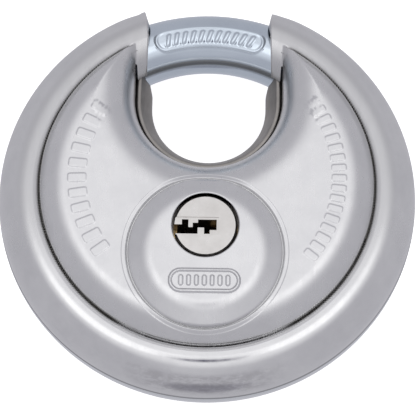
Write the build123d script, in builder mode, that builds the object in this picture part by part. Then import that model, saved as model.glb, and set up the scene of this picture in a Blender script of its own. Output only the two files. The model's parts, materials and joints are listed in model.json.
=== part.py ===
from build123d import *

import os
from math import asin, cos, degrees, radians, sin, sqrt, tan

# Disc padlock, lying on its back: rear face on z = 0, keyway face up (+Z), shackle towards +Y,
# origin under the centre of the disc. Lengths are in mm. "level" means height from the mid-plane
# of the case. Clock angles are in degrees, clockwise from 12 o'clock seen from the front.

# ---- case ----
case_r = 35.0
face_level = 11.3
mid = face_level
sheet = 1.4
band_at = 29.3
band_height = 7.87
groove_in = 27.5
groove_out = 27.9
groove_level = 7.0
shoulder_at = 22.8
shoulder_r = 4.8
shoulder_lean = 52.0
seam_level = 1.5

# ---- throat: the U-shaped opening that the shackle closes ----
throat_y = 15.8
throat_r = 9.7
throat_flare = 1.8
liner_level = 4.2
lip_at = 19.5
lip_r = 7.1
lining_blend = 1.2
cut_past = 0.1
liner_reach = 25.5
throat_length = 24.0

# ---- horns: the sleeves that carry the shackle on each side of the throat ----
horn_x = 10.3
horn_r = 7.85
horn_wall_x = 14.0

lip_centre = face_level - lip_r
lip_mid_level = (liner_level + face_level) / 2

# ---- keyway boss on the front shell ----
boss_y = -12.9
boss_r = 12.4
boss_flat_r = 9.5
boss_level = 12.8
boss_groove = 0.7
boss_groove_depth = 0.4
boss_recess_foot = 10.7
boss_recess_top = 8.9
key_hole_r = 5.5

# ---- shackle: a bent round bar that slides round in the case ----
shackle_at = 28.0
shackle_r = 5.0
passage_r = 5.75
shackle_free_end = -45.0
shackle_tail = 158.0
shackle_chamfer = 0.8
shackle_turn = 70.0

# ---- drive from plug to shackle ----
plug_y = -8.8
crank_r = -plug_y
arm_angle = 180 - shackle_turn / 2
arm_half_width = 4.0
arm_web_in = 21.5
arm_web_out = 23.5
arm_pad_out = 29.2
arm_pad_levels = (-5.0, -2.8)
arm_fork_levels = (-9.5, -7.5)
arm_fork_in = 12.5
fork_slot_past = 0.3
flat_from = 134.0
slide_gap = 0.05
seat_gap = 0.02
crank_levels = (-7.2, -5.4)
crank_hub_r = 5.0
crank_tip_r = 2.7
crank_pin_r = 1.75
crank_pin_end = -9.2
drive_square = 5.0
rivet_r = 1.0
rivet_at = 27.5
rivet_spread = 2.0
rivet_top = 1.0
screw_r = 1.2
screw_head_r = 2.2
screw_head_end = -8.3
screw_tip = -4.5
screw_slot_width = 0.6
screw_slot_depth = 0.5

# ---- pin-tumbler cylinder ----
housing_r = 8.0
housing_levels = (-4.4, 8.6)
bible_x = 15.6
bible_half_width = 3.0
foot_end = -9.85
side_foot_from = 13.0
far_foot_size = (9.0, 1.6)
far_foot_from_plug = 6.9
guard_levels = (8.7, 9.8)
guard_bore_r = 5.25
plug_r = 4.6
plug_head_r = 5.15
plug_head_level = 11.9
plug_tail_end = -5.4
plug_face_chamfer = 0.3
keyway_end = -3.9
face_recess_x = (-6.0, 2.1)
face_recess_y = (-1.6, 1.4)
face_recess_depth = 0.15
clip_levels = (-5.0, -4.5)
clip_in = 3.9
clip_out = 5.6
pin_count = 5
pin_pitch = 2.4
first_pin_level = 6.9
pin_r = 0.95
chamber_r = 1.0
chamber_floor = -0.9
pin_tip_length = 0.7
pin_tip_taper = 40
driver_pin_chamfer = 0.15
key_pin_tips = (0.1, 1.1, -0.2, 0.7, 1.3)
key_pin_top = 4.45
driver_pin_from = 4.68
driver_pin_length = 3.0
spring_end = 12.9
spring_wire_r = 0.15
spring_coil_r = 0.75
spring_turns = 8
chamber_plug_end = 15.4

# ---- guides that keep the shackle in its channel ----
guide_in = 20.8
guide_out = 22.6
guide_level = face_level - sheet
guide_from = 62.0
rear_guide_to = 120.0


def radial_plane(clock, level=0.0):
    """Upright plane through the disc axis, its x pointing outwards at a clock angle."""
    turn = radians(clock)
    outwards = (sin(turn), cos(turn), 0)
    return Plane(origin=(0, 0, mid + level), x_dir=outwards, z_dir=(cos(turn), -sin(turn), 0))


def level_plane(level, clock=90.0):
    """Plane facing up at a level, its x pointing at a clock angle."""
    turn = radians(clock)
    return Plane(origin=(0, 0, mid + level), x_dir=(sin(turn), cos(turn), 0), z_dir=(0, 0, 1))


def upright_plane(y):
    """Plane facing the viewer's feet at a y, its x along X and its y up, level with the mid-plane."""
    return Plane(origin=(0, y, mid), x_dir=(1, 0, 0), z_dir=(0, -1, 0))


def turn_axis(y=0.0):
    """Upright axis through (0, y), turning clockwise seen from the front."""
    return Axis((0, y, mid), (0, 0, -1))


def case_section(inset):
    """Upper right quarter of the case's section, inset from the outside by a wall."""
    band_width = case_r - band_at - inset
    band = band_height - inset
    groove_side = (band_at - groove_out - inset / 2) / band_width
    lean = radians(shoulder_lean)
    shoulder = shoulder_r - inset
    shoulder_centre = (shoulder_at, face_level - shoulder_r)
    slope_top = (shoulder_at + shoulder * sin(lean), shoulder_centre[1] + shoulder * cos(lean))
    wall_at = groove_in - inset
    floor = groove_level - inset
    slope_end = (wall_at, slope_top[1] - (wall_at - slope_top[0]) * tan(lean))
    with BuildLine() as outline:
        Line((0, 0), (band_at + band_width, 0))
        crown_size = 90 + degrees(asin(groove_side))
        crown = EllipticalCenterArc((band_at, 0), band_width, band, start_angle=0, arc_size=crown_size)
        Polyline(crown @ 1, (groove_out, floor), (wall_at, floor), slope_end, slope_top)
        CenterArc(shoulder_centre, shoulder, 90 - shoulder_lean, shoulder_lean)
        Polyline((shoulder_at, face_level - inset), (0, face_level - inset), (0, 0))
    make_face(outline.edges())
    mirror(about=Plane.XZ)


def lip_at_level(level, radius):
    """How far out from the throat's middle line a circle concentric with its lip stands at a level."""
    return lip_at - sqrt(radius**2 - (level - lip_centre) ** 2)


def throat_section():
    """Right half of the throat's section, waisted at the mid-plane and rounded out at the faces."""
    top = boss_level + 1
    lip_foot = (lip_at_level(liner_level, lip_r), liner_level)
    with BuildLine() as outline:
        Polyline((0, 0), (throat_r, 0), (throat_r + throat_flare, liner_level))
        Line((throat_r + throat_flare, liner_level), lip_foot)
        ThreePointArc(lip_foot, (lip_at_level(lip_mid_level, lip_r), lip_mid_level), (lip_at, face_level))
        Polyline((lip_at, face_level), (lip_at, top), (0, top), (0, 0))
    make_face(outline.edges())
    mirror(about=Plane.XZ)


def lining_section():
    """Right half of the throat's section with its sheet metal round it, up to the inside of a face."""
    inside = face_level - sheet
    inner_r = lip_r - sheet
    lip_foot = (lip_at_level(liner_level, inner_r), liner_level)
    blend_from = lip_at - lining_blend
    blend_level = lip_centre + sqrt(inner_r**2 - lining_blend**2)
    with BuildLine() as outline:
        Polyline((0, 0), (throat_r + sheet, 0), (throat_r + throat_flare + sheet, liner_level))
        Line((throat_r + throat_flare + sheet, liner_level), lip_foot)
        ThreePointArc(
            lip_foot,
            (lip_at_level(lip_mid_level - sheet / 2, inner_r), lip_mid_level - sheet / 2),
            (blend_from, blend_level),
        )
        Polyline(
            (blend_from, blend_level),
            (blend_from + lining_blend / 2, inside + cut_past),
            (0, inside + cut_past),
            (0, 0),
        )
    make_face(outline.edges())
    mirror(about=Plane.XZ)


# ---- working shapes for the case ----
with BuildPart() as case_outside:
    with BuildSketch(radial_plane(90)):
        case_section(0)
    revolve(axis=turn_axis())

with BuildPart() as bar_channel:
    with BuildSketch(radial_plane(90)):
        with Locations((shackle_at, 0)):
            Circle(passage_r)
    revolve(axis=turn_axis())

with BuildPart() as horn_sleeves:
    with BuildSketch(radial_plane(90)):
        with Locations((band_at, 0)):
            Circle(horn_r)
    revolve(axis=turn_axis())
    with BuildSketch(level_plane(-face_level)):
        Rectangle(2 * horn_x, 4 * case_r)
    extrude(amount=2 * face_level, mode=Mode.SUBTRACT)

with BuildPart() as horn_walls:
    add(horn_sleeves.part)
    with BuildSketch(radial_plane(90)):
        with Locations((band_at, 0)):
            Circle(horn_r - sheet)
    revolve(axis=turn_axis(), mode=Mode.SUBTRACT)
    with BuildSketch(level_plane(-face_level)):
        Rectangle(4 * case_r, 4 * case_r)
        with Locations((0, case_r)):
            Rectangle(2 * horn_wall_x, 2 * case_r, mode=Mode.SUBTRACT)
    extrude(amount=2 * face_level, mode=Mode.SUBTRACT)

with BuildPart() as throat:
    with BuildSketch(upright_plane(throat_y)):
        throat_section()
    revolve(axis=turn_axis(throat_y), revolution_arc=180)
    with BuildSketch(upright_plane(throat_y)):
        throat_section()
        mirror(about=Plane.YZ)
    extrude(amount=-throat_length)
    add(horn_sleeves.part, mode=Mode.SUBTRACT)
    with BuildSketch(level_plane(-face_level)):
        with Locations((0, throat_y + throat_length / 2)):
            Rectangle(2 * horn_x, throat_length)
        Circle(band_at - horn_r, mode=Mode.SUBTRACT)
    extrude(amount=2 * face_level)

with BuildPart() as lining:
    with BuildSketch(upright_plane(throat_y)):
        lining_section()
    revolve(axis=turn_axis(throat_y), revolution_arc=180)
    with BuildSketch(upright_plane(throat_y)):
        lining_section()
        mirror(about=Plane.YZ)
    extrude(amount=-throat_length)

with BuildPart() as case_inside:
    with BuildSketch(radial_plane(90)):
        case_section(sheet)
    revolve(axis=turn_axis())

with BuildPart() as flared_walls:
    add(lining.part)
    with BuildSketch(level_plane(-liner_level)):
        Rectangle(4 * case_r, 4 * case_r)
    extrude(amount=2 * liner_level, mode=Mode.SUBTRACT)
    add(horn_walls.part)
    add(bar_channel.part, mode=Mode.SUBTRACT)

with BuildPart() as case_hollow:
    add(case_inside.part)
    add(flared_walls.part, mode=Mode.SUBTRACT)

# ---- front shell ----
with BuildPart() as front_shell:
    add(case_outside.part)
    add(case_hollow.part, mode=Mode.SUBTRACT)
    split(bisect_by=level_plane(seam_level), keep=Keep.TOP)
    add(throat.part, mode=Mode.SUBTRACT)
    with BuildSketch(upright_plane(boss_y)):
        Polygon(
            (0, face_level - sheet),
            (boss_r, face_level - sheet),
            (boss_r, face_level - boss_groove_depth),
            (boss_flat_r, boss_level),
            (0, boss_level),
            align=None,
        )
    revolve(axis=turn_axis(boss_y))
    with BuildSketch(upright_plane(boss_y)):
        Polygon(
            (boss_r, face_level - boss_groove_depth),
            (boss_r + boss_groove, face_level),
            (boss_r + boss_groove, boss_level),
            (boss_r, boss_level),
            align=None,
        )
    revolve(axis=turn_axis(boss_y), mode=Mode.SUBTRACT)
    with BuildSketch(upright_plane(boss_y)):
        Polygon(
            (0, face_level - sheet),
            (boss_recess_foot, face_level - sheet),
            (boss_recess_top, boss_level - sheet),
            (0, boss_level - sheet),
            align=None,
        )
    revolve(axis=turn_axis(boss_y), mode=Mode.SUBTRACT)
    with BuildSketch(level_plane(0)):
        with Locations((0, plug_y)):
            Circle(key_hole_r)
    extrude(amount=boss_level + 1, mode=Mode.SUBTRACT)
front_shell.part.label = "front_shell"

# ---- rear shell ----
with BuildPart() as rear_shell:
    add(case_outside.part)
    add(case_hollow.part, mode=Mode.SUBTRACT)
    split(bisect_by=level_plane(seam_level), keep=Keep.BOTTOM)
    add(throat.part, mode=Mode.SUBTRACT)
rear_shell.part.label = "rear_shell"

# ---- liner: the bent strip between the two shells' lips in the throat ----
with BuildPart() as throat_liner:
    add(lining.part)
    add(throat.part, mode=Mode.SUBTRACT)
    with BuildSketch(level_plane(-liner_level)):
        Circle(liner_reach)
    extrude(amount=2 * liner_level, mode=Mode.INTERSECT)
    add(case_inside.part, mode=Mode.INTERSECT)
    add(horn_sleeves.part, mode=Mode.SUBTRACT)
throat_liner.part.label = "throat_liner"

# ---- shackle bar ----
with BuildPart() as shackle:
    with BuildSketch(radial_plane(shackle_free_end)):
        with Locations((shackle_at, 0)):
            Circle(shackle_r)
    revolve(axis=turn_axis(), revolution_arc=shackle_tail - shackle_free_end)
    chamfer(shackle.faces().filter_by(GeomType.PLANE).edges(), length=shackle_chamfer)
    with BuildSketch(radial_plane(flat_from)):
        with Locations((shackle_at, arm_pad_levels[1] - shackle_r)):
            Rectangle(3 * shackle_r, 2 * shackle_r)
    revolve(axis=turn_axis(), revolution_arc=shackle_tail - flat_from + 5, mode=Mode.SUBTRACT)
    with BuildSketch(level_plane(arm_pad_levels[0], arm_angle)):
        with Locations((rivet_at, -rivet_spread), (rivet_at, rivet_spread)):
            Circle(rivet_r + seat_gap)
    extrude(amount=rivet_top - arm_pad_levels[0], mode=Mode.SUBTRACT)
shackle.part.label = "shackle"

# ---- guides: stamped rings that line the inner side of the shackle's channel ----
with BuildPart() as front_guide:
    with BuildSketch(radial_plane(guide_from)):
        with Locations((guide_in, 0)):
            Rectangle(guide_out - guide_in, guide_level, align=Align.MIN)
    revolve(axis=turn_axis(), revolution_arc=360 - 2 * guide_from)
front_guide.part.label = "front_guide"

with BuildPart() as rear_guide_right:
    with BuildSketch(radial_plane(guide_from, -guide_level)):
        with Locations((guide_in, 0)):
            Rectangle(guide_out - guide_in, guide_level, align=Align.MIN)
    revolve(axis=turn_axis(), revolution_arc=rear_guide_to - guide_from)
rear_guide_right.part.label = "rear_guide_right"

with BuildPart() as rear_guide_left:
    add(rear_guide_right.part)
    mirror(about=Plane.YZ, mode=Mode.REPLACE)
rear_guide_left.part.label = "rear_guide_left"

# ---- drive arm: joggled lug riveted to the flat on the shackle's tail, forked at its inner end ----
with BuildPart() as drive_arm:
    with BuildSketch(level_plane(arm_fork_levels[0], arm_angle)):
        with Locations(((arm_fork_in + arm_web_out) / 2, 0)):
            Rectangle(arm_web_out - arm_fork_in, 2 * arm_half_width)
    extrude(amount=arm_fork_levels[1] - arm_fork_levels[0])
    with BuildSketch(level_plane(arm_fork_levels[0], arm_angle)):
        with Locations(((arm_web_in + arm_web_out) / 2, 0)):
            Rectangle(arm_web_out - arm_web_in, 2 * arm_half_width)
    extrude(amount=arm_pad_levels[1] - arm_fork_levels[0])
    with BuildSketch(level_plane(arm_pad_levels[0], arm_angle)):
        with Locations(((arm_web_in + arm_pad_out) / 2, 0)):
            Rectangle(arm_pad_out - arm_web_in, 2 * arm_half_width)
    extrude(amount=arm_pad_levels[1] - arm_pad_levels[0])
    with BuildSketch(level_plane(arm_fork_levels[0], arm_angle)):
        Rectangle(2 * crank_r, 2 * (crank_pin_r + slide_gap), align=(Align.MIN, Align.CENTER))
        with Locations((2 * crank_r + fork_slot_past, 0)):
            Circle(crank_pin_r + slide_gap)
    extrude(amount=arm_fork_levels[1] - arm_fork_levels[0], mode=Mode.SUBTRACT)
    with BuildSketch(level_plane(arm_pad_levels[0], arm_angle)):
        with Locations((rivet_at, -rivet_spread), (rivet_at, rivet_spread)):
            Circle(rivet_r + seat_gap)
    extrude(amount=arm_pad_levels[1] - arm_pad_levels[0], mode=Mode.SUBTRACT)
drive_arm.part.label = "drive_arm"

with BuildPart() as arm_rivets:
    with BuildSketch(level_plane(arm_pad_levels[0], arm_angle)):
        with Locations((rivet_at, -rivet_spread), (rivet_at, rivet_spread)):
            Circle(rivet_r)
    extrude(amount=rivet_top - arm_pad_levels[0])
arm_rivets.part.label = "arm_rivets"

# ---- cylinder housing: round body, pin bible towards +X, two feet down to the rear shell ----
pin_levels = [first_pin_level - pin_pitch * number for number in range(pin_count)]
housing_height = housing_levels[1] - housing_levels[0]


def pin_plane(level):
    """Plane across a pin chamber, on the plug's axis, facing along the chamber towards +X."""
    return Plane(origin=(0, plug_y, mid + level), x_dir=(0, 1, 0), z_dir=(1, 0, 0))


with BuildPart() as cylinder_housing:
    with BuildSketch(level_plane(housing_levels[0])):
        with Locations((0, plug_y)):
            Circle(housing_r)
            Rectangle(bible_x, 2 * bible_half_width, align=(Align.MIN, Align.CENTER))
    extrude(amount=housing_height)
    with BuildSketch(level_plane(foot_end)):
        with Locations((side_foot_from, plug_y)):
            Rectangle(bible_x - side_foot_from, bible_half_width, align=Align.MIN)
        with Locations((0, plug_y + far_foot_from_plug)):
            Rectangle(*far_foot_size)
    extrude(amount=housing_levels[0] - foot_end)
    with BuildSketch(level_plane(housing_levels[0])):
        with Locations((0, plug_y)):
            Circle(plug_r + slide_gap)
    extrude(amount=housing_height, mode=Mode.SUBTRACT)
    for level in pin_levels:
        with BuildSketch(pin_plane(level)):
            Circle(chamber_r)
        extrude(amount=bible_x + 1, mode=Mode.SUBTRACT)
    add(lining.part, mode=Mode.SUBTRACT)
cylinder_housing.part.label = "cylinder_housing"

# ---- hardened ring in front of the housing, round the plug's head ----
with BuildPart() as drill_guard:
    with BuildSketch(level_plane(guard_levels[0])):
        with Locations((0, plug_y)):
            Circle(housing_r)
            Circle(guard_bore_r, mode=Mode.SUBTRACT)
    extrude(amount=guard_levels[1] - guard_levels[0])
    add(lining.part, mode=Mode.SUBTRACT)
drill_guard.part.label = "drill_guard"

# ---- plug: headed barrel with the keyway, key-pin chambers, clip groove and square tail ----
with BuildPart() as plug:
    with BuildSketch(upright_plane(plug_y)):
        Polygon(
            (0, crank_levels[1]),
            (plug_r, crank_levels[1]),
            (plug_r, clip_levels[0]),
            (clip_in - seat_gap, clip_levels[0]),
            (clip_in - seat_gap, clip_levels[1]),
            (plug_r, clip_levels[1]),
            (plug_r, guard_levels[0]),
            (plug_head_r, guard_levels[0]),
            (plug_head_r, plug_head_level - plug_face_chamfer),
            (plug_head_r - plug_face_chamfer, plug_head_level),
            (0, plug_head_level),
            align=None,
        )
    revolve(axis=turn_axis(plug_y))
    with BuildSketch(level_plane(crank_levels[0])):
        with Locations((0, plug_y)):
            Rectangle(drive_square, drive_square)
    extrude(amount=crank_levels[1] - crank_levels[0])
    with BuildSketch(level_plane(keyway_end)):
        with BuildLine() as keyway_outline:
            Polyline(
                (-6.0, 0.15),
                (-3.8, 0.15),
                (-3.8, 1.0),
                (-2.75, 1.0),
                (-2.75, -0.3),
                (-2.05, -0.3),
                (-2.05, 0.45),
                (-1.2, 0.45),
                (-1.2, 1.0),
                (1.8, 1.0),
                (1.8, -0.75),
                (0.7, -0.75),
                (0.7, -1.4),
                (-0.2, -1.4),
                (-0.2, -0.35),
                (-1.25, -0.35),
                (-1.25, -1.4),
                (-6.0, -1.4),
                close=True,
            )
        with Locations((0, plug_y)):
            add(make_face(keyway_outline.edges(), mode=Mode.PRIVATE))
    extrude(amount=plug_head_level - keyway_end, mode=Mode.SUBTRACT)
    with BuildSketch(level_plane(plug_head_level)):
        with Locations((face_recess_x[0], plug_y + face_recess_y[0])):
            Rectangle(
                face_recess_x[1] - face_recess_x[0],
                face_recess_y[1] - face_recess_y[0],
                align=Align.MIN,
            )
    extrude(amount=-face_recess_depth, mode=Mode.SUBTRACT)
    for level in pin_levels:
        with BuildSketch(pin_plane(level).offset(chamber_floor)):
            Circle(chamber_r)
        extrude(amount=plug_r + 1 - chamber_floor, mode=Mode.SUBTRACT)
    with BuildSketch(level_plane(crank_levels[0])):
        with Locations((0, plug_y)):
            Circle(screw_r + seat_gap)
    extrude(amount=screw_tip - crank_levels[0], mode=Mode.SUBTRACT)
plug.part.label = "plug"

# ---- what turns with the plug ----
with BuildPart() as plug_clip:
    with BuildSketch(level_plane(clip_levels[0])):
        with Locations((0, plug_y)):
            Circle(clip_out)
            Circle(clip_in, mode=Mode.SUBTRACT)
        with Locations((0, plug_y - clip_out)):
            Rectangle(clip_in, clip_out, mode=Mode.SUBTRACT)
    extrude(amount=clip_levels[1] - clip_levels[0])
plug_clip.part.label = "plug_clip"

# The crank pin stands where the arm's fork crosses the circle through the disc axis about the plug.
crank_pin_at = Vector(0, plug_y) + Vector(0, -crank_r).rotate(Axis.Z, shackle_turn)

with BuildPart() as crank:
    with BuildSketch(level_plane(crank_levels[0])):
        with Locations((0, plug_y)):
            Circle(crank_hub_r)
        with Locations(crank_pin_at):
            Circle(crank_tip_r)
        make_hull()
        with Locations((0, plug_y)):
            Rectangle(drive_square + 2 * seat_gap, drive_square + 2 * seat_gap, mode=Mode.SUBTRACT)
        with Locations(crank_pin_at):
            Circle(crank_pin_r + seat_gap, mode=Mode.SUBTRACT)
    extrude(amount=crank_levels[1] - crank_levels[0])
crank.part.label = "crank"

with BuildPart() as crank_pin:
    with BuildSketch(level_plane(crank_pin_end)):
        with Locations(crank_pin_at):
            Circle(crank_pin_r)
    extrude(amount=crank_levels[1] - crank_pin_end)
crank_pin.part.label = "crank_pin"

with BuildPart() as crank_screw:
    with BuildSketch(level_plane(screw_head_end)):
        with Locations((0, plug_y)):
            Circle(screw_head_r)
    extrude(amount=crank_levels[0] - screw_head_end)
    with BuildSketch(level_plane(screw_head_end)):
        with Locations((0, plug_y)):
            Circle(screw_r)
    extrude(amount=screw_tip - screw_head_end)
    with BuildSketch(level_plane(screw_head_end)):
        with Locations((0, plug_y)):
            Rectangle(2 * screw_head_r, screw_slot_width)
    extrude(amount=screw_slot_depth, mode=Mode.SUBTRACT)
crank_screw.part.label = "crank_screw"

# ---- pin stacks, standing as a key holds them, with every gap on the plug's surface ----
pins = []
for number, (level, tip) in enumerate(zip(pin_levels, key_pin_tips), start=1):
    with BuildPart() as key_pin:
        with BuildSketch(pin_plane(level).offset(tip + pin_tip_length)):
            Circle(pin_r)
        extrude(amount=key_pin_top - tip - pin_tip_length)
        with BuildSketch(pin_plane(level).offset(tip + pin_tip_length)):
            Circle(pin_r)
        extrude(amount=-pin_tip_length, taper=pin_tip_taper)
    key_pin.part.label = f"key_pin_{number}"

    with BuildPart() as driver_pin:
        with BuildSketch(pin_plane(level).offset(driver_pin_from)):
            Circle(pin_r)
        extrude(amount=driver_pin_length)
        chamfer(driver_pin.faces().filter_by(GeomType.PLANE).edges(), length=driver_pin_chamfer)
    driver_pin.part.label = f"driver_pin_{number}"

    coil_from = driver_pin_from + driver_pin_length + spring_wire_r + seat_gap
    coil_length = spring_end - spring_wire_r - coil_from
    with BuildPart() as pin_spring:
        with BuildLine() as coil:
            Helix(
                pitch=coil_length / spring_turns,
                height=coil_length,
                radius=spring_coil_r,
                center=(coil_from, plug_y, mid + level),
                direction=(1, 0, 0),
            )
        with BuildSketch(Plane(origin=coil.line @ 0, z_dir=coil.line % 0)):
            Circle(spring_wire_r)
        sweep(path=coil.line, is_frenet=True)
    pin_spring.part.label = f"pin_spring_{number}"
    pins += [key_pin.part, driver_pin.part, pin_spring.part]

with BuildPart() as chamber_plugs:
    for level in pin_levels:
        with BuildSketch(pin_plane(level).offset(spring_end + seat_gap)):
            Circle(chamber_r - seat_gap / 2)
        extrude(amount=chamber_plug_end - spring_end - seat_gap)
chamber_plugs.part.label = "chamber_plugs"

os.makedirs("parts", exist_ok=True)
case = [front_shell.part, rear_shell.part, throat_liner.part, front_guide.part]
case += [rear_guide_right.part, rear_guide_left.part]
case += [cylinder_housing.part, drill_guard.part, chamber_plugs.part]
bar = [shackle.part, drive_arm.part, arm_rivets.part]
barrel = [plug.part, plug_clip.part, crank.part, crank_pin.part, crank_screw.part]
for piece in case + bar + barrel + pins:
    export_step(piece, f"parts/{piece.label}.step")
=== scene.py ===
import json
import math

import bpy
import numpy as np
from mathutils import Matrix, Vector
from mathutils.geometry import delaunay_2d_cdt


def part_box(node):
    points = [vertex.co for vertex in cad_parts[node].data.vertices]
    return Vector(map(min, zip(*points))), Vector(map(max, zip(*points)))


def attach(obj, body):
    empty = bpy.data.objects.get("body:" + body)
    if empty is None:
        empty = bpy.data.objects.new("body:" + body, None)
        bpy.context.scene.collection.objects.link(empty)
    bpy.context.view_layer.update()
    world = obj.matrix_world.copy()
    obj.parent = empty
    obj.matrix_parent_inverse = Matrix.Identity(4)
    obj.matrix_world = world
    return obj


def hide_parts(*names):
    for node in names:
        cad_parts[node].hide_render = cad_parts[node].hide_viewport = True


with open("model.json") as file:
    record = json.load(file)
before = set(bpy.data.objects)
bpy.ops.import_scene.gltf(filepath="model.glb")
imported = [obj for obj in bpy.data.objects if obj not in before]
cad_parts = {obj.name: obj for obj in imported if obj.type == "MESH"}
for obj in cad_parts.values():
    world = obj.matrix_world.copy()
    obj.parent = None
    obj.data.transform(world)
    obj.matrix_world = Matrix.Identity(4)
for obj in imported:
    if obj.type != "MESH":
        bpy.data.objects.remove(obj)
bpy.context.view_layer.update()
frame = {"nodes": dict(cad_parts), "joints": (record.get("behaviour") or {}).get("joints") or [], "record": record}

# Lengths are in mm and heights ("levels") are from the mid-plane of the case, until a mesh is made.
MM = 0.001


def corners(node):
    low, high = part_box(node)
    return np.array(low) / MM, np.array(high) / MM


joints = {j["name"]: j for j in frame["joints"]}
MID = joints["shackle_turn"]["pos_m"][2] / MM
PLUG_Y = joints["plug_turn"]["pos_m"][1] / MM
CASE_R = 35.0
BOSS_TOP = corners("front_shell")[1][2] - MID
PLUG_TOP = corners("plug")[1][2] - MID
FACE = MID
SEAM = corners("rear_shell")[1][2] - MID

# case section
BAND_AT = 29.3
BAND_WIDTH = CASE_R - BAND_AT
BAND_HEIGHT = 7.87
HORN_DEPTH = 7.8
SHOULDER_R = 4.8
SHOULDER_AT = 22.8
SHOULDER_LEAN = math.radians(52)
WALL_AT = 27.42
WALL_SLOPE = 7.0
GROOVE_AT = 27.68
GROOVE_HALF = 0.11
GROOVE_DEPTH = 0.7
LAND_TO = 28.7
LAND_DROP = 0.22
SHEET = 1.3
RIM_CUT = 34.2
SEAM_GAP = 0.36

# throat
THROAT_Y = 15.8
THROAT_R = 9.7
LINER_TOP = 4.2
LINER_BULGE = 1.8
LINER_SHEET = 1.0
LINER_NOTCH = 5.5
LINER_CUT = 17.9
LIP_R = 7.1
LIP_AT = 19.5
LIP_LEVEL = FACE - LIP_R
SHELL_EDGE = LIP_AT - LIP_R + 0.003
HORN_X = 10.3
HORN_FROM_Y = 17.0
HORN_IN_R = 22.8
HORN_SLIT_R = 24.7
HORN_SLIT_X = 11.95
HORN_END_SHEET = 2.2
HORN_TIP_DROP = 0.45
HORN_EDGE = 0.3
HORN_LEAN = 0.08
HORN_LEAN_LEFT = 0.1

# boss on the front
BOSS_Y = -12.9
BOSS_R = 12.55
BOSS_FOOT = 10.9
BOSS_SLOPE = 2.25
BOSS_CROWN = 2.0
BOSS_DIP = 0.35
HOLE_R = 5.42
HOLE_EDGE = 0.22
PILL_Y = -18.2
PILL_HALF = 3.75
PILL_R = 1.95

# shackle
BAR_AT = 28.0
BAR_R = 5.0
BAR_FROM = -45.0
BAR_TO = 158.0
BAR_FLAT_FROM = 134.0
BAR_FLAT = -2.8
BAR_CLEAR = 0.32


# ---------------------------------------------------------------- shape of a case shell
def ease(t):
    t = np.clip(t, 0, 1)
    return t * t * (3 - 2 * t)


def smooth_min(a, b, width):
    near = np.clip(width - np.abs(a - b), 0, None) / width
    return np.minimum(a, b) - width * near**3 / 6


def smooth_max(a, b, width):
    return -smooth_min(-a, -b, width)


def throat_distance(x, y):
    """Distance from the throat's own middle line, which runs up from the centre of its round end."""
    return np.where(y < THROAT_Y, np.hypot(x, y - THROAT_Y), np.abs(x))


def lens_level(r):
    run = np.clip(r - SHOULDER_AT, 0, SHOULDER_R * math.sin(SHOULDER_LEAN))
    level = FACE - SHOULDER_R + np.sqrt(SHOULDER_R**2 - run**2)
    level = level - math.tan(SHOULDER_LEAN) * np.clip(r - SHOULDER_AT - run, 0, None)
    return level - WALL_SLOPE * np.clip(r - WALL_AT, 0, None)


def band_level(r):
    across = np.where(r > BAND_AT, (r - BAND_AT) / BAND_WIDTH, (BAND_AT - r) / HORN_DEPTH)
    return BAND_HEIGHT * np.sqrt(np.clip(1 - across**2, 0, None))


def flare_level(q):
    lean = np.clip((LIP_AT - q) / LIP_R, 0, 1)
    return LIP_LEVEL + LIP_R * np.sqrt(1 - lean**2) - 6 * np.clip(SHELL_EDGE - q, 0, None)


def horn_reach(x):
    """How near the disc's axis a horn's sheet comes down at a distance from the middle."""
    return HORN_IN_R + (HORN_SLIT_R - HORN_IN_R) * ease((np.abs(x) - HORN_SLIT_X) / 0.25)


def capsule(u, v, half, radius):
    """Distance outside a capsule that lies along u."""
    return np.hypot(np.clip(np.abs(u) - half, 0, None), v) - radius


def raised(distance, height, edge=0.14):
    return height * ease((edge / 2 - distance) / edge)


def mark_row(radius, from_deg, to_deg, count, length, width):
    """Places and sizes of a row of raised bars along an arc about the disc's axis."""
    return [(radius, math.radians(a), length / 2, width / 2) for a in np.linspace(from_deg, to_deg, count)]


MARKS = mark_row(21.1, -127, -57, 11, 3.0, 1.5) + mark_row(21.6, 53, 128, 17, 2.4, 1.15)
MARK_CORNER = 0.35
MARK_HEIGHT = 0.1
MARK_EDGE = 0.34


def mark_distance(x, y):
    """Distance outside the nearest raised bar."""
    nearest = np.full(np.shape(x), 9.0)
    for radius, angle, half_length, half_width in MARKS:
        along = x * math.sin(angle) + y * math.cos(angle) - radius
        across = x * math.cos(angle) - y * math.sin(angle)
        u = np.abs(along) - half_length + MARK_CORNER
        v = np.abs(across) - half_width + MARK_CORNER
        outside = np.hypot(np.clip(u, 0, None), np.clip(v, 0, None)) + np.clip(np.maximum(u, v), None, 0)
        nearest = np.minimum(nearest, outside - MARK_CORNER)
    return nearest


def mark_points():
    """Points along lines that follow the raised bars' edges."""
    points = []
    for radius, angle, half_length, half_width in MARKS:
        for out in (-0.22, -0.12, 0.0, 0.12, 0.22):
            corner = max(MARK_CORNER + out, 0.08)
            loop = []
            for quarter in range(4):
                turn = np.radians(np.arange(0, 91, 30) + 90 * quarter)
                side_u = 1 if quarter in (0, 3) else -1
                side_v = 1 if quarter in (0, 1) else -1
                u = side_u * (half_length + out - corner) + corner * np.cos(turn)
                v = side_v * (half_width + out - corner) + corner * np.sin(turn)
                loop += list(zip(u, v))
            loop.append(loop[0])
            for (u0, v0), (u1, v1) in zip(loop, loop[1:]):
                for t in np.arange(0, 1, 1 / max(1, round(math.hypot(u1 - u0, v1 - v0) / 0.3))):
                    u, v = u0 + (u1 - u0) * t + radius, v0 + (v1 - v0) * t
                    x = u * math.sin(angle) + v * math.cos(angle)
                    y = u * math.cos(angle) - v * math.sin(angle)
                    points.append((x, y))
    return np.array(points)


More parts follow.
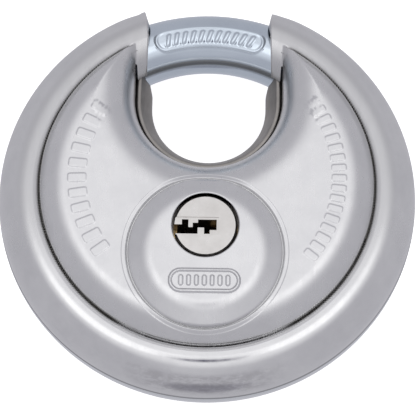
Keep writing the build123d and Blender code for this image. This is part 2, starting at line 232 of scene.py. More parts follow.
def ornament(x, y):
    """Plain raised bars on the face, and a ribbed pill-shaped frame on the boss."""
    marks = raised(mark_distance(x, y), MARK_HEIGHT, MARK_EDGE)
    pill = capsule(x, y - PILL_Y, PILL_HALF, PILL_R)
    frame_line = raised(pill, 0.34, 0.3) - raised(pill + 0.45, 0.28, 0.3)
    rib = np.clip(np.round(x / 1.25), -3, 3) * 1.25
    ribs = raised(capsule(y - PILL_Y, x - rib, 0.55, 0.3), 0.22, 0.3)
    return marks + frame_line + ribs


def shell_level(x, y, front):
    r = np.hypot(x, y)
    q = throat_distance(x, y)
    lens = lens_level(r)
    lens = smooth_min(lens, flare_level(q), 0.02 + 0.9 * ease((FACE - lens) / 1.2))
    level = smooth_max(lens, band_level(r), 0.12 + 3.4 * ease((17.0 - q) / 4.0))
    near_groove = ease((q - 12.6) / 2.0)
    level = level - GROOVE_DEPTH * np.exp(-np.abs(r - GROOVE_AT) / GROOVE_HALF) * near_groove
    land = np.clip((LAND_TO - r) / (LAND_TO - GROOVE_AT), 0, 1) * (r > GROOVE_AT)
    level = level - LAND_DROP * land * near_groove
    turn = np.clip((HORN_X + HORN_EDGE - q) / HORN_EDGE, 0, 0.98)
    level = level - HORN_EDGE * (1 - np.sqrt(1 - turn**2))
    if front:
        rb = np.hypot(x, y - BOSS_Y)
        within = np.clip(BOSS_R - rb, 0, BOSS_SLOPE + BOSS_CROWN)
        bend = np.clip(within - BOSS_SLOPE, 0, None)
        rise = (within - bend**2 / (2 * BOSS_CROWN)) / (BOSS_SLOPE + BOSS_CROWN / 2)
        foot = np.minimum(BOSS_FOOT, level + 0.12)
        boss = foot + (BOSS_TOP - BOSS_DIP - foot) * rise
        inside = ease((BOSS_R + 0.12 - rb) / 0.24)
        level = level * (1 - inside) + boss * inside
        level = level - 0.38 * np.exp(-(((rb - BOSS_R - 0.05) / 0.16) ** 2))
        level = level - 0.07 * ease((BOSS_R + 1.0 - rb) / 0.15) * (1 - inside)
        turn = np.clip((HOLE_R + HOLE_EDGE - np.hypot(x, y - PLUG_Y)) / HOLE_EDGE, 0, 0.99)
        level = level - HOLE_EDGE * (1 - np.sqrt(1 - turn**2))
        level = level + ornament(x, y)
    return level


def shell_normals(x, y, front):
    step = 0.004
    dx = (shell_level(x + step, y, front) - shell_level(x - step, y, front)) / (2 * step)
    dy = (shell_level(x, y + step, front) - shell_level(x, y - step, front)) / (2 * step)
    n = np.stack([-dx, -dy, np.ones_like(dx)], 1)
    return n / np.linalg.norm(n, axis=1, keepdims=True)


# ---------------------------------------------------------------- points that follow the shell's features
def ring_radii():
    """Radii about the disc's axis, close together where the section bends."""
    shoulder = SHOULDER_AT + SHOULDER_R * np.sin(np.radians(np.arange(3, 52, 4.0)))
    slope = np.array([26.8, 27.05, 27.25, 27.36, 27.42, 27.47])
    groove = GROOVE_AT + np.array([-0.16, -0.1, -0.05, 0.0, 0.05, 0.1, 0.16, 0.25])
    lip = np.array([28.1, 28.3, 28.5, 28.64, LAND_TO, 28.76, 28.9])
    lean = math.degrees(math.asin((RIM_CUT - BAND_AT) / BAND_WIDTH))
    band = BAND_AT + BAND_WIDTH * np.sin(np.radians(np.linspace(-2, lean, 24)))
    return np.concatenate([shoulder, slope, groove, lip, band])


def horn_columns():
    """Distances from the middle at which points stand beside the throat."""
    edge = HORN_X + np.array([0, 0.06, 0.15, 0.28, 0.45, 0.65])
    slit = SHELL_EDGE + np.array([0.1, 0.3])
    return np.concatenate([edge, np.arange(11.2, 12.3, 0.25), slit, np.arange(13, 17.1, 0.3)])


def band_rings():
    points = []
    columns = horn_columns()
    share = np.linspace(0, 1, 150)
    for r in ring_radii()[ring_radii() <= RIM_CUT]:
        start = math.asin(columns[-1] / r) + 0.3 / r
        angles = start + (math.pi - start) * share
        x = np.concatenate([columns, r * np.sin(angles)])
        y = np.concatenate([np.sqrt(r * r - columns**2), r * np.cos(angles)])
        points.append(np.stack([x, y], 1))
    for r in np.arange(HORN_IN_R, 27.5, 0.25):
        x = columns[columns < SHELL_EDGE - 0.05]
        points.append(np.stack([x, np.sqrt(r * r - x**2)], 1))
    right = np.concatenate(points)
    left = right[right[:, 0] > 1e-6] * [-1, 1]
    return np.concatenate([right, left])


def lip_rows():
    points = []
    lean = np.radians(np.concatenate([np.arange(3, 40, 3), np.arange(40, 87, 3.5)]))
    for q in LIP_AT - LIP_R * np.cos(lean):
        turn = np.linspace(0, math.pi, 120)
        points.append(np.stack([q * np.cos(turn), THROAT_Y - q * np.sin(turn)], 1))
        side = np.arange(THROAT_Y + 0.4, 26.5, 0.4)
        for x in (q, -q):
            points.append(np.stack([np.full(len(side), x), side], 1))
    return np.concatenate(points)


def boss_rings():
    outside = [13.1, 13.3, 13.42, 13.5, 13.58, 13.7, 14.0]
    radii = np.concatenate([np.arange(7.9, 12.2, 0.32), np.arange(12.25, 13.0, 0.07), outside])
    points = []
    for r in radii:
        turn = np.radians(np.arange(0, 360, 2.0))
        points.append(np.stack([r * np.sin(turn), BOSS_Y + r * np.cos(turn)], 1))
    return np.concatenate(points)


def hole_rings():
    points = []
    for r in HOLE_R + HOLE_EDGE * (1 - np.cos(np.radians(np.arange(0, 91, 15.0)))):
        turn = np.radians(np.arange(0, 360, 3.0))
        points.append(np.stack([r * np.sin(turn), PLUG_Y + r * np.cos(turn)], 1))
    return np.concatenate(points)


def mesh_grid(low, high, step):
    x, y = np.meshgrid(np.arange(low[0], high[0], step), np.arange(low[1], high[1], step))
    return np.stack([x.ravel(), y.ravel()], 1)


def plan_points(front):
    """Points in plan, each feature's own pattern inside that feature's zone."""
    size = CASE_R + 1

    def zones(p):
        x, y = p[:, 0], p[:, 1]
        r, q = np.hypot(x, y), throat_distance(x, y)
        rb, rp = np.hypot(x, y - BOSS_Y), np.hypot(x, y - PLUG_Y)
        pill = capsule(x, y - PILL_Y, PILL_HALF, PILL_R) < 0.45
        marks = np.abs(mark_distance(x, y)) < 0.32
        zone = np.zeros(len(p), int)
        zone[(q < LIP_AT - 0.3) & (r < 23.0)] = 4
        zone[(r >= 23.0) | ((q < SHELL_EDGE) & (r >= HORN_IN_R - 0.01) & (y > 0))] = 3
        if front:
            zone[marks & (zone < 4)] = 5
            zone[rb < 14.1] = 2
            zone[pill] = 6
            zone[rp < HOLE_R + HOLE_EDGE + 0.02] = 7
        return zone

    def keep(p, number):
        return p[zones(p) == number]

    coarse = mesh_grid((-size, -size), (size, size), 0.85)
    sets = [keep(band_rings(), 3), keep(lip_rows(), 4), keep(coarse, 0)]
    if front:
        fine = mesh_grid((-size, -size), (size, size), 0.13)
        sets += [keep(boss_rings(), 2), keep(hole_rings(), 7), keep(fine, 6)]
        sets += [keep(mark_points(), 5)]
        inner = mesh_grid((-9, BOSS_Y - 9), (9, BOSS_Y + 9), 0.6)
        inner = inner[np.hypot(inner[:, 0], inner[:, 1] - BOSS_Y) < 7.7]
        inner = inner[np.hypot(inner[:, 0], inner[:, 1] - PLUG_Y) > HOLE_R + HOLE_EDGE + 0.3]
        sets += [keep(inner, 2)]
    return np.concatenate(sets)


def outline_loops(front):
    """The shell's plan outline, and the plug hole's, as closed rings of points."""
    top = math.sqrt(RIM_CUT**2 - HORN_X**2)
    foot = math.sqrt(HORN_IN_R**2 - HORN_X**2)
    half = [(HORN_X, y) for y in np.arange(top, foot, -0.3)]
    slit = np.linspace(HORN_SLIT_X, SHELL_EDGE, 12)[:-1]
    bottom = np.concatenate([np.arange(HORN_X, HORN_SLIT_X, 0.2), slit])
    half += [(x, math.sqrt(float(horn_reach(x)) ** 2 - x * x)) for x in bottom]
    half += [(SHELL_EDGE, y) for y in np.arange(math.sqrt(HORN_SLIT_R**2 - SHELL_EDGE**2), THROAT_Y, -0.3)]
    half += [
        (SHELL_EDGE * math.cos(a), THROAT_Y - SHELL_EDGE * math.sin(a))
        for a in np.linspace(0, math.pi / 2, 60)[:-1]
    ]
    throat = half + [(0.0, THROAT_Y - SHELL_EDGE)] + [(-x, y) for x, y in reversed(half)]
    end = math.asin(HORN_X / RIM_CUT)
    rim = [(RIM_CUT * math.sin(a), RIM_CUT * math.cos(a)) for a in np.linspace(end, 2 * math.pi - end, 392)]
    loops = [throat + rim[::-1][1:-1]]
    if front:
        turns = np.linspace(0, 2 * math.pi, 116)[:-1]
        loops.append([(HOLE_R * math.sin(a), PLUG_Y + HOLE_R * math.cos(a)) for a in turns])
    return [np.array(loop) for loop in loops]


def inside_shell(p, front):
    x, y = p[:, 0], p[:, 1]
    r, q = np.hypot(x, y), throat_distance(x, y)
    horn = (y > 0) & (r > horn_reach(x)) & (np.abs(x) > HORN_X)
    solid = (r < RIM_CUT) & ((q > SHELL_EDGE) | horn)
    if front:
        solid &= np.hypot(x, y - PLUG_Y) > HOLE_R
    return solid


def triangulate(front):
    loops = outline_loops(front)
    cloud = plan_points(front)
    fixed = np.concatenate(loops)
    cloud = cloud[inside_shell(cloud, front)]
    # points that all but touch the outline are left to the outline
    cells = {}
    for x, y in fixed:
        cells.setdefault((round(x / 0.5), round(y / 0.5)), []).append((x, y))

    def clear(x, y):
        i, j = round(x / 0.5), round(y / 0.5)
        near = [c for a in (-1, 0, 1) for b in (-1, 0, 1) for c in cells.get((i + a, j + b), ())]
        return all((x - u) ** 2 + (y - v) ** 2 > 0.0049 for u, v in near)

    cloud = np.array([p for p in cloud.tolist() if clear(*p)])
    points = np.concatenate([fixed, cloud])
    edges = []
    first = 0
    for loop in loops:
        n = len(loop)
        edges += [(first + i, first + (i + 1) % n) for i in range(n)]
        first += n
    made = delaunay_2d_cdt([Vector(p) for p in points.tolist()], edges, [], 0, 1e-6)
    points = np.array([tuple(v) for v in made[0]])
    faces = np.array(made[2])
    centre = points[faces].mean(1)
    faces = faces[inside_shell(centre, front)]
    a, b, c = (points[faces[:, i]] for i in range(3))
    area = (b[:, 0] - a[:, 0]) * (c[:, 1] - a[:, 1]) - (b[:, 1] - a[:, 1]) * (c[:, 0] - a[:, 0])
    faces = faces[np.abs(area) > 1e-7]
    used = np.unique(faces)
    number = np.full(len(points), -1)
    number[used] = np.arange(len(used))
    return points[used], number[faces]


def boundary_edges(faces):
    """Directed edges that only one face has."""
    edges = np.concatenate([faces[:, [0, 1]], faces[:, [1, 2]], faces[:, [2, 0]]])
    keys = {}
    for a, b in edges.tolist():
        keys[(a, b)] = True
    return [(a, b) for a, b in keys if (b, a) not in keys]


def add_belt(points, normals, faces, end_level):
    """Carries the shell on from its plan outline down the round rim to its seam."""
    start = math.acos((RIM_CUT - BAND_AT) / BAND_WIDTH)
    end = math.asin(end_level / BAND_HEIGHT)
    count = max(4, int(abs(start - end) * BAND_HEIGHT / 0.4))
    rows = []
    for t in np.linspace(start, end, count)[1:]:
        lean = math.atan2(BAND_WIDTH * math.sin(t), BAND_HEIGHT * math.cos(t))
        rows.append((BAND_AT + BAND_WIDTH * math.cos(t), BAND_HEIGHT * math.sin(t), lean))
    r, z, t = rows[-1]
    rows.append((r - 0.05, z - 0.04, t - 0.7))
    rows.append((r - 0.16, z - 0.06, t - 1.4))
    on_rim = np.abs(np.hypot(points[:, 0], points[:, 1]) - RIM_CUT) < 1e-3
    rim = [(a, b) for a, b in boundary_edges(faces) if on_rim[a] and on_rim[b]]
    following = dict(rim)
    first = next(a for a in following if a not in set(following.values()))
    order = [first]
    while order[-1] in following:
        order.append(following[order[-1]])
    x, y = points[order, 0], points[order, 1]
    angle = np.unwrap(np.arctan2(x, y))
    share = (angle - angle[0]) / (angle[-1] - angle[0])
    all_points, all_normals, all_faces = [points], [normals], [faces]
    last = np.array(order)
    base = len(points)
    for r, z, t in rows:
        limit = math.asin(HORN_X / r)
        low, high = (limit, 2 * math.pi - limit) if angle[-1] > angle[0] else (-limit, limit - 2 * math.pi)
        turn = low + (high - low) * share
        all_points.append(np.stack([r * np.sin(turn), r * np.cos(turn), np.full(len(turn), z)], 1))
        outward = [math.cos(t) * np.sin(turn), math.cos(t) * np.cos(turn), np.full(len(turn), math.sin(t))]
        all_normals.append(np.stack(outward, 1))
        new = base + np.arange(len(turn))
        all_faces.append(np.stack([last[1:], last[:-1], new[:-1]], 1))
        all_faces.append(np.stack([last[1:], new[:-1], new[1:]], 1))
        last = new
        base += len(turn)
    return np.concatenate(all_points), np.concatenate(all_normals), np.concatenate(all_faces)


def thicken(points, normals, faces, thickness):
    """A closed sheet: the outside, the same pattern set in by a thickness, and a wall along every edge."""
    n = len(points)
    inner = points - normals * thickness
    edges = np.array(boundary_edges(faces))
    a, b = edges[:, 0], edges[:, 1]
    walls = np.concatenate([np.stack([b, a, a + n], 1), np.stack([b, a + n, b + n], 1)])
    all_points = np.concatenate([points, inner])
    all_faces = np.concatenate([faces, faces[:, ::-1] + n, walls])
    loop_normals = np.concatenate([normals[faces], -normals[faces[:, ::-1]]])
    p = all_points[walls]
    wall_normals = np.cross(p[:, 1] - p[:, 0], p[:, 2] - p[:, 0])
    wall_normals /= np.maximum(np.linalg.norm(wall_normals, axis=1, keepdims=True), 1e-12)
    loop_normals = np.concatenate([loop_normals, np.repeat(wall_normals[:, None], 3, 1)])
    return all_points, all_faces, loop_normals


def add_piece(name, points, faces, loop_normals=None):
    """A mesh object from points in mm above the mid-plane."""
    mesh = bpy.data.meshes.new(name)
    at = (np.asarray(points, float) + [0, 0, MID]) * MM
    mesh.from_pydata(at.tolist(), [], np.asarray(faces).tolist() if isinstance(faces, np.ndarray) else faces)
    mesh.polygons.foreach_set("use_smooth", [True] * len(mesh.polygons))
    if loop_normals is not None:
        mesh.normals_split_custom_set(loop_normals.reshape(-1, 3).tolist())
    piece = bpy.data.objects.new(name, mesh)
    bpy.context.scene.collection.objects.link(piece)
    return piece


def make_shell(name, node, front):
    plan, faces = triangulate(front)
    a, b, c = (plan[faces[:, i]] for i in range(3))
    area = (b[:, 0] - a[:, 0]) * (c[:, 1] - a[:, 1]) - (b[:, 1] - a[:, 1]) * (c[:, 0] - a[:, 0])
    faces[area < 0] = faces[area < 0][:, ::-1]
    x, y = plan[:, 0], plan[:, 1]
    points = np.column_stack([plan, shell_level(x, y, front)])
    normals = shell_normals(x, y, front)
    end_level = (SEAM if front else -SEAM) + SEAM_GAP / 2
    points, normals, faces = add_belt(points, normals, faces, end_level)
    at_horn = (points[:, 1] > HORN_FROM_Y) & (np.hypot(points[:, 0], points[:, 1]) > HORN_IN_R - 0.1)
    at_end = ease((HORN_X + 0.7 - np.abs(points[:, 0])) / 0.5) * at_horn
    sheet = SHEET + (HORN_END_SHEET - SHEET) * at_end
    to_bar = np.hypot(np.hypot(points[:, 0], points[:, 1]) - BAR_AT, points[:, 2]) - BAR_R - BAR_CLEAR
    sheet = np.minimum(sheet, np.clip(to_bar, 0.25, None))
    points, faces, loop_normals = thicken(points, normals, faces, sheet[:, None])
    beside = ease((HORN_X + 2.5 - np.abs(points[:, 0])) / 2.5) * (points[:, 1] > HORN_FROM_Y)
    drop = np.clip(BAND_HEIGHT - np.abs(points[:, 2]), 0, None)
    points[:, 0] += np.sign(points[:, 0]) * HORN_LEAN * drop * beside
    left = (points[:, 0] < 0) * np.clip(np.hypot(points[:, 0], points[:, 1]) - 28, 0, None)
    points[:, 0] -= HORN_LEAN_LEFT * left * beside
    tip = np.clip((HORN_X + 6 - np.abs(points[:, 0])) / 6, 0, 1) ** 2 * ease((points[:, 1] - 27) / 5)
    points[:, 1] -= HORN_TIP_DROP * tip
    if not front:
        points = points * [1, 1, -1]
        faces = faces[:, ::-1]
        loop_normals = loop_normals[:, ::-1] * [1, 1, -1]
    piece = add_piece(name, points, faces, loop_normals)
    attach(piece, "case")
    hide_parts(node)
    return piece


# ---------------------------------------------------------------- swept pieces
def grid_faces(rows, columns, wrap_columns=False):
    steps = columns if wrap_columns else columns - 1
    i, j = np.meshgrid(np.arange(rows - 1), np.arange(steps), indexing="ij")
    i, j = i.ravel(), j.ravel()
    k = (j + 1) % columns
    return np.stack([i * columns + j, i * columns + k, (i + 1) * columns + k, (i + 1) * columns + j], 1)


def make_liner():
    """The strip in the throat: waisted, cut back round the bar, with a V at the middle of each end."""
    levels = np.linspace(-LINER_TOP, LINER_TOP, 45)
    outer, inner = [], []
    for z in levels:
        q = THROAT_R + LINER_BULGE * abs(z / LINER_TOP) ** 1.3
        past_bar = BAR_AT - math.sqrt(LINER_NOTCH**2 - z * z)
        top = min(math.sqrt(past_bar**2 - (q + LINER_SHEET) ** 2), LINER_CUT + 1.3 * abs(z))
        side = np.linspace(top, THROAT_Y, 18)
        turn = np.linspace(0, math.pi, 90)
        for rows, radius in ((outer, q), (inner, q + LINER_SHEET)):
            x = np.concatenate([np.full(18, radius), radius * np.cos(turn[1:-1]), np.full(18, -radius)])
            y = np.concatenate([side, THROAT_Y - radius * np.sin(turn[1:-1]), side[::-1]])
            rows.append(np.stack([x, y, np.full(len(x), z if rows is outer else z * 0.94)], 1))
    outer, inner = np.array(outer), np.array(inner)
    count = outer.shape[1]
    points = np.concatenate([outer.reshape(-1, 3), inner.reshape(-1, 3)])
    face = grid_faces(len(levels), count)
    half = len(levels) * count
    faces = face.tolist() + (face[:, ::-1] + half).tolist()
    for row in (0, len(levels) - 1):
        for j in range(count - 1):
            a, b = row * count + j, row * count + j + 1
            quad = [b, a, a + half, b + half]
            faces.append(quad if row == 0 else quad[::-1])
    for column in (0, count - 1):
        for i in range(len(levels) - 1):
            a, b = i * count + column, (i + 1) * count + column
            quad = [a, b, b + half, a + half]
            faces.append(quad if column == 0 else quad[::-1])
    piece = add_piece("throat_strip", points, faces)
    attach(piece, "case")
    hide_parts("throat_liner")
    return piece


def make_bar():
    """The bent bar: chamfered ends, the flat for its arm, and a ribbed pill on its front."""
    fine = np.arange(-24, 24.01, 0.34)
    coarse = [np.arange(BAR_FROM + 1.7, -24, 1.6), np.arange(25.5, BAR_FLAT_FROM, 1.6)]
    clock = np.concatenate([[BAR_FROM, BAR_FROM, BAR_FROM + 1.0], coarse[0], fine, coarse[1]])
    clock = np.concatenate([clock, [BAR_FLAT_FROM - 0.01, BAR_FLAT_FROM], np.arange(136, BAR_TO - 2, 1.6)])
    clock = np.concatenate([clock, [BAR_TO - 1.6, BAR_TO, BAR_TO]])
    radius = np.full(len(clock), BAR_R)
    radius[[0, -1]] = 0.02
    radius[[1, -2]] = BAR_R - 0.8
    phi = np.radians(np.arange(0, 360, 2.5))
    around, along = np.meshgrid(phi, clock)
    size = radius[:, None] * np.ones_like(around)
    across = (np.degrees(around) + 6 + 180) % 360 - 180
    u, v = np.radians(along) * BAR_AT, np.radians(across) * BAR_R
    pill = capsule(u, v, 7.75, 1.85)
    rib = np.clip(np.round(u / 1.45), -5, 5) * 1.45
    relief = raised(pill, 0.22, 0.34) - raised(pill + 0.42, 0.2, 0.34)
    relief = relief + raised(capsule(v, u - rib - 0.35 * v, 0.75, 0.3), 0.2, 0.34)
    size = size + np.where(np.abs(along) < 23, relief, 0)
    out, up = size * np.sin(around), size * np.cos(around)
    flat = (along >= BAR_FLAT_FROM) & (up < BAR_FLAT)
    up = np.where(flat, BAR_FLAT, up)
    r = BAR_AT + out
    turn = np.radians(along)
    points = np.stack([r * np.sin(turn), r * np.cos(turn), up], -1).reshape(-1, 3)
    face = grid_faces(len(clock), len(phi), True)
    faces = face[:, ::-1].tolist()
    last = (len(clock) - 1) * len(phi)
    faces.append(list(range(len(phi))))
    faces.append([last + j for j in range(len(phi))][::-1])
    piece = add_piece("shackle_bar", points, faces)
    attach(piece, "shackle_bar")
    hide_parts("shackle")
    return piece


# ---------------------------------------------------------------- materials
def new_material(name, color, rough, metallic=1.0):
    material = bpy.data.materials.new(name)
    material.use_nodes = True
    shader = material.node_tree.nodes["Principled BSDF"]
    shader.inputs["Base Color"].default_value = (*color, 1)
    shader.inputs["Roughness"].default_value = rough
    shader.inputs["Metallic"].default_value = metallic
    return material, material.node_tree, shader


def link(tree, a, b):
    tree.links.new(a, b)


def noise(tree, vector, scale, detail=3.0, rough=0.55):
    node = tree.nodes.new("ShaderNodeTexNoise")
    node.inputs["Scale"].default_value = scale
    node.inputs["Detail"].default_value = detail
    node.inputs["Roughness"].default_value = rough
    link(tree, vector, node.inputs["Vector"])
    return node.outputs["Fac"]


def ramp(tree, value, low, high, from_low=0.3, from_high=0.7):
    node = tree.nodes.new("ShaderNodeMapRange")
    node.inputs["From Min"].default_value = from_low
    node.inputs["From Max"].default_value = from_high
    node.inputs["To Min"].default_value = low
    node.inputs["To Max"].default_value = high
    link(tree, value, node.inputs["Value"])
    return node.outputs["Result"]


def stretched(tree, scale):
    coordinates = tree.nodes.new("ShaderNodeTexCoord")
    mapping = tree.nodes.new("ShaderNodeMapping")
    mapping.inputs["Scale"].default_value = scale
    link(tree, coordinates.outputs["Object"], mapping.inputs["Vector"])
    return mapping.outputs["Vector"]


def mix_color(tree, factor, a, b):
    node = tree.nodes.new("ShaderNodeMix")
    node.data_type = "RGBA"
    for socket, value in (("A", a), ("B", b)):
        if isinstance(value, tuple):
            node.inputs[socket].default_value = (*value, 1)
        else:
            link(tree, value, node.inputs[socket])
    link(tree, factor, node.inputs["Factor"])
    return node.outputs["Result"]


def math_node(tree, operation, a, b):
    node = tree.nodes.new("ShaderNodeMath")
    node.operation = operation
    for socket, value in zip(node.inputs, (a, b)):
        if isinstance(value, (int, float)):
            socket.default_value = value
        else:
            link(tree, value, socket)
    return node.outputs[0]


def map_range(tree, value, low, high, out_low=0.0, out_high=1.0):
    node = tree.nodes.new("ShaderNodeMapRange")
    node.interpolation_type = "SMOOTHSTEP"
    link(tree, value, node.inputs["Value"])
    for name, number in (("From Min", low), ("From Max", high), ("To Min", out_low), ("To Max", out_high)):
        node.inputs[name].default_value = number
    return node.outputs["Result"]


def product(tree, *values):
    result = values[0]
    for value in values[1:]:
        result = math_node(tree, "MULTIPLY", result, value)
    return result


def span(tree, value, low, high, out_low=0.0, out_high=1.0):
    """A soft step between two lengths in mm."""
    return map_range(tree, value, low * MM, high * MM, out_low, out_high)


def cover_seam_and_painted_light(tree, gloss):
    """Gloss over the band, the dark seam line, and painted light on the covers: a speckled painted dark reflection
    at the bottom of the rim band, painted shade in the groove and on the band's crest and horn ends towards the
    shackle, and a pale bluish painted reflection of the floor on the rear cover's rim below the seam.
    """
    place = tree.nodes.new("ShaderNodeSeparateXYZ")
    link(tree, tree.nodes.new("ShaderNodeTexCoord").outputs["Object"], place.inputs[0])
    x, y, z = place.outputs["X"], place.outputs["Y"], place.outputs["Z"]
    radius = math_node(tree, "SQRT", math_node(tree, "ADD", product(tree, x, x), product(tree, y, y)), 0.5)
    aside = math_node(tree, "ABSOLUTE", x, 0.5)

    on_band = span(tree, radius, 27.8, 28.1)
    gloss = math_node(tree, "ADD", gloss, product(tree, on_band, span(tree, y, -32, 20, -0.14, 0.14)))

    # speckled painted dark reflection at the bottom of the rim band, away from the shackle
    low_down = product(tree, span(tree, y, -30, -27, 1.0, 0.0), span(tree, aside, 7, 15, 1.0, 0.0))
    belt = product(tree, span(tree, radius, 32.1, 32.8), span(tree, radius, 34.2, 34.8, 1.0, 0.1))
    speckle = map_range(tree, noise(tree, stretched(tree, (0.5, 1, 1)), 900, 5.0, 0.7), 0.35, 0.6)
    speckled_dark_reflection = product(tree, product(tree, low_down, belt), product(tree, speckle, 0.6))

    # painted shade along the groove, kept away from the throat
    off_groove = math_node(tree, "ABSOLUTE", math_node(tree, "SUBTRACT", radius, GROOVE_AT * MM), 0.5)
    groove_shade = product(tree, span(tree, off_groove, 0.1, 0.24, 1.0, 0.0), span(tree, aside, 12.6, 15))

    # painted shade on the band's crest and the horn ends, fading out away from the shackle
    horn_end = product(tree, span(tree, aside, 12.0, 14.0, 1.0, 0.0), span(tree, radius, 22.4, 22.8))
    crest_shade = math_node(tree, "MAXIMUM", on_band, horn_end)
    crest_shade = product(tree, crest_shade, span(tree, radius, 30.0, 31.8, 1.0, 0.0), span(tree, y, -20, -2, 0.0, 0.9))

    seam_at = MID + SEAM
    outside = span(tree, radius, 33.6, 34.0)
    off_seam = math_node(tree, "ABSOLUTE", math_node(tree, "SUBTRACT", z, seam_at * MM), 0.5)
    seam = product(tree, span(tree, off_seam, 0.22, 0.42, 0.75, 0.0), outside)
    # pale bluish painted reflection of the floor on the rear cover's rim, just below the seam
    below_seam = span(tree, z, seam_at - 0.1, seam_at, 1.0, 0.0)
    rear_floor_reflection = product(tree, below_seam, span(tree, z, seam_at - 5, seam_at - 1.5), outside)
    return gloss, speckled_dark_reflection, groove_shade, crest_shade, seam, rear_floor_reflection


def metal(name, color, dark, rough, brush, depth=0.00001, spread=0.07, with_cover_seam_and_painted_light=False):
    """Metal with brushing along one axis, fine grain, and soft changes of tone and gloss."""
    material, tree, shader = new_material(name, color, rough)
    strokes = noise(tree, stretched(tree, brush), 1500, 4.0)
    clouds = noise(tree, stretched(tree, (1, 1, 1)), 150, 8.0, 0.72)
    link(tree, mix_color(tree, ramp(tree, clouds, 0.0, 1.0), color, dark), shader.inputs["Base Color"])
    brushed = ramp(tree, strokes, rough - spread / 2, rough + spread / 2)
    gloss = math_node(tree, "ADD", brushed, ramp(tree, clouds, -spread / 3, spread / 3))
    # on the covers: a dark seam line, and painted shade and painted reflections mixed into the tone
    if with_cover_seam_and_painted_light:
        gloss, speckled_dark_reflection, groove_shade, crest_shade, seam, rear_floor_reflection = cover_seam_and_painted_light(tree, gloss)
        tone = shader.inputs["Base Color"].links[0].from_socket
        # painted shade on the band's crest and horn ends
        tone = mix_color(tree, crest_shade, tone, (0.49, 0.49, 0.495))
        # speckled painted dark reflection at the bottom of the rim band
        tone = mix_color(tree, speckled_dark_reflection, tone, (0.44, 0.435, 0.44))
        # pale bluish painted reflection of the floor below the seam
        tone = mix_color(tree, rear_floor_reflection, tone, (0.63, 0.65, 0.67))
        tone = mix_color(tree, seam, tone, (0.25, 0.25, 0.25))
        # painted shade in the groove
        tone = mix_color(tree, groove_shade, tone, (0.27, 0.265, 0.255))
        link(tree, tone, shader.inputs["Base Color"])
    link(tree, gloss, shader.inputs["Roughness"])
    bump = tree.nodes.new("ShaderNodeBump")
    bump.inputs["Strength"].default_value = 0.35
    bump.inputs["Distance"].default_value = depth
    link(tree, strokes, bump.inputs["Height"])
    link(tree, bump.outputs["Normal"], shader.inputs["Normal"])
    return material


def paint_shade_below(material, level, color):
    """Painted shade: darkens whatever of a piece lies below a height above the mid-plane."""
    tree = material.node_tree
    shader = tree.nodes["Principled BSDF"]
    place = tree.nodes.new("ShaderNodeSeparateXYZ")
    link(tree, tree.nodes.new("ShaderNodeNewGeometry").outputs["Position"], place.inputs[0])
    depth = map_range(tree, place.outputs["Z"], (MID + level - 0.35) * MM, (MID + level - 0.2) * MM, 1.0, 0.0)
    unshaded = shader.inputs["Base Color"].links[0].from_socket
    link(tree, mix_color(tree, depth, unshaded, color), shader.inputs["Base Color"])


def set_material(piece, material):
    piece.data.materials.clear()
    piece.data.materials.append(material)


polished = metal(
    "polished_stainless",
    (0.68, 0.68, 0.68),
    (0.61, 0.61, 0.615),
    0.29,
    (1, 0.12, 0.4),
    0.000012,
    with_cover_seam_and_painted_light=True,
)
raw = metal("raw_stainless", (0.34, 0.32, 0.30), (0.26, 0.25, 0.235), 0.42, (0.15, 0.15, 1), 0.00003, 0.12)
chrome = metal("chromed_bar", (0.57, 0.63, 0.69), (0.52, 0.58, 0.64), 0.1, (1, 0.2, 0.2), 0.000008, 0.05)
nickel = metal("nickel_plug", (0.66, 0.645, 0.625), (0.54, 0.525, 0.50), 0.33, (1, 0.3, 1), 0.00003, 0.12)
# painted shade in the keyway and the gap round the plug, below the plug's top
paint_shade_below(nickel, PLUG_TOP, (0.22, 0.19, 0.16))
zinc = metal("zinc_plate", (0.50, 0.51, 0.53), (0.42, 0.43, 0.45), 0.35, (1, 1, 0.3), 0.00002, 0.1)
brass = metal("brass", (0.70, 0.52, 0.26), (0.58, 0.42, 0.20), 0.3, (1, 1, 0.2), 0.00002, 0.1)
wire = metal("spring_wire", (0.50, 0.50, 0.51), (0.40, 0.40, 0.41), 0.3, (1, 1, 1), 0.00001, 0.1)

by_slot = {
    "polished_steel": polished,
    "raw_steel": raw,
    "chromed_steel": chrome,
    "nickel_plug": nickel,
    "zinc_plated_steel": zinc,
    "brass": brass,
    "spring_steel": wire,
}
for part in frame["record"]["subparts"]:
    set_material(frame["nodes"][part["node"]], by_slot[part["material_slot"]])

front_shell = make_shell("front_cover", "front_shell", True)
rear_shell = make_shell("rear_cover", "rear_shell", False)
liner = make_liner()
bar = make_bar()
set_material(front_shell, polished)
set_material(rear_shell, polished)
set_material(liner, raw)
set_material(bar, chrome)

# ---------------------------------------------------------------- floor, light and camera
floor_mesh = bpy.data.meshes.new("floor")
FLOOR_HALF = 1.5
floor_corners = [(i * FLOOR_HALF, j * FLOOR_HALF, 0) for i, j in ((-1, -1), (1, -1), (1, 1), (-1, 1))]
floor_mesh.from_pydata(floor_corners, [], [(0, 1, 2, 3)])
floor = bpy.data.objects.new("floor", floor_mesh)
bpy.context.scene.collection.objects.link(floor)
floor_material, _, floor_shader = new_material("floor_white", (0.85, 0.85, 0.85), 0.9, 0.0)
floor_shader.inputs["Emission Color"].default_value = (1, 1, 1, 1)
floor_shader.inputs["Emission Strength"].default_value = 0.75
set_material(floor, floor_material)
floor.visible_glossy = False

world = bpy.data.worlds.new("studio")
bpy.context.scene.world = world
world.use_nodes = True
sky = world.node_tree
direction = sky.nodes.new("ShaderNodeTexCoord").outputs["Generated"]


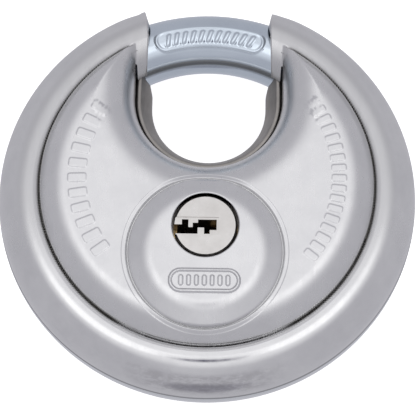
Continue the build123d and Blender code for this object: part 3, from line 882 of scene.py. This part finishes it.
def glow(towards, inner_deg, outer_deg, strength):
    """Soft round brightness in the studio dome, full within one angle and gone past another."""
    dot = sky.nodes.new("ShaderNodeVectorMath")
    dot.operation = "DOT_PRODUCT"
    link(sky, direction, dot.inputs[0])
    dot.inputs[1].default_value = Vector(towards).normalized()
    fade = sky.nodes.new("ShaderNodeMapRange")
    fade.interpolation_type = "SMOOTHERSTEP"
    fade.inputs["From Min"].default_value = math.cos(math.radians(outer_deg))
    fade.inputs["From Max"].default_value = math.cos(math.radians(inner_deg))
    fade.inputs["To Min"].default_value = 0
    fade.inputs["To Max"].default_value = strength
    link(sky, dot.outputs["Value"], fade.inputs["Value"])
    return fade.outputs["Result"]


def tilted(up_deg, side_deg=0.0):
    """Direction from overhead, leaning towards the shackle and to the right."""
    a, b = math.radians(up_deg), math.radians(side_deg)
    return (math.sin(b) * math.cos(a), math.sin(a), math.cos(a) * math.cos(b))


# the big light overhead, two softboxes beside it, a weak one low down, and three dark gaps
lights = glow(tilted(4), 12, 54, 0.48)
for operation, towards, inner_deg, outer_deg, strength in (
    ("ADD", tilted(0, -15), 4, 18, 0.5),
    ("ADD", tilted(0, 15), 4, 18, 0.5),
    ("ADD", tilted(-47), 4, 26, 0.08),
    ("SUBTRACT", tilted(-11), 1, 8, 0.9),
    ("SUBTRACT", tilted(-3), 1, 9, 0.35),
    ("SUBTRACT", tilted(-113), 4, 19, 0.25),
):
    lights = math_node(sky, operation, lights, glow(towards, inner_deg, outer_deg, strength))
lit = sky.nodes.new("ShaderNodeVectorMath")
lit.operation = "MULTIPLY_ADD"
link(sky, lights, lit.inputs[0])
lit.inputs[1].default_value = (1.0, 1.0, 0.98)
lit.inputs[2].default_value = (0.625, 0.62, 0.665)
link(sky, lit.outputs["Vector"], sky.nodes["Background"].inputs["Color"])

TILT = math.radians(18.58)
YAW = math.radians(0.82)
ROLL = math.radians(1.11)
DISTANCE = 300.0
LENS_MM = 154.16
TARGET = Vector((0.19, -1.87, MID)) * MM

view = Vector((math.sin(YAW) * math.cos(TILT), -math.sin(TILT), math.cos(TILT) * math.cos(YAW)))
right = Vector((0, 1, 0)).cross(view).normalized()
up = view.cross(right)
right, up = (
    right * math.cos(ROLL) + up * math.sin(ROLL),
    up * math.cos(ROLL) - right * math.sin(ROLL),
)
camera_data = bpy.data.cameras.new("camera")
camera_data.lens = LENS_MM
camera_data.sensor_width = 36
camera = bpy.data.objects.new("camera", camera_data)
bpy.context.scene.collection.objects.link(camera)
place = TARGET + view * DISTANCE * MM
camera.matrix_world = Matrix(
    (
        (right.x, up.x, view.x, place.x),
        (right.y, up.y, view.y, place.y),
        (right.z, up.z, view.z, place.z),
        (0, 0, 0, 1),
    )
)
bpy.context.scene.camera = camera

bpy.context.scene.view_settings.view_transform = "Standard"
